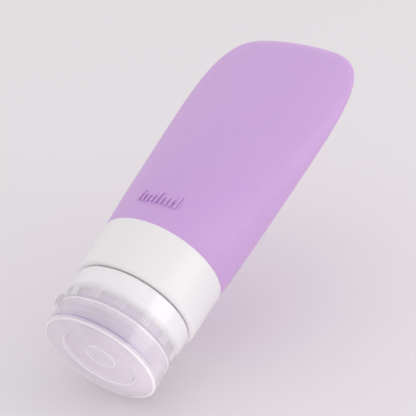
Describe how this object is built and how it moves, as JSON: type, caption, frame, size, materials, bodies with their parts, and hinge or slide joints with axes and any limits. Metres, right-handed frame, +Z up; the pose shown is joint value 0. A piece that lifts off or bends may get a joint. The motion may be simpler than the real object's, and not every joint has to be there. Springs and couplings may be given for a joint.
{
  "type": "squeeze bottle",
  "caption": "Soft travel squeeze bottle: flattened silicone body in a rigid neck collar, with a screw cap, hinged flip lid and slit drip valve.",
  "frame": {"origin": "middle of the closed lid's outer face, on which the bottle stands", "axes": "+Z up the bottle's axis from the lid to the flat crowned end, X along the broad side, Y through the thin side"},
  "size_m": [0.0594, 0.0446, 0.145],
  "materials": {
    "lilac_silicone": "matte",
    "valve_silicone": "matte",
    "white_polypropylene": "satin",
    "frosted_polypropylene": "frosted, translucent"
  },
  "bodies": {
    "bottle": {"squeeze_body": "lilac_silicone", "neck_collar": "white_polypropylene"},
    "valve": {"drip_valve": "valve_silicone"},
    "cap": {"cap_base": "frosted_polypropylene", "hinge_strap": "frosted_polypropylene"},
    "lid": {"flip_lid": "frosted_polypropylene"}
  },
  "joints": [
    {"name": "cap_lift", "type": "slide", "parent": "bottle", "child": "valve", "axis": [0, 0, -1], "range_m": [0, 0.008]},
    {"name": "cap_turn", "type": "hinge", "parent": "valve", "child": "cap", "pos_m": [0, 0, 0.015], "axis": [0, 0, -1], "range_deg": [0, 720]},
    {"name": "lid_flip", "type": "hinge", "parent": "cap", "child": "lid", "pos_m": [-0.0192, -0.01154, 0.009], "axis": [-0.515, 0.8572, 0], "range_deg": [0, 165], "deforming": ["hinge_strap"]}
  ],
  "couplings": [
    {"joint": "cap_lift", "follows": "cap_turn", "m_per_rad": 0.00063662}
  ]
}
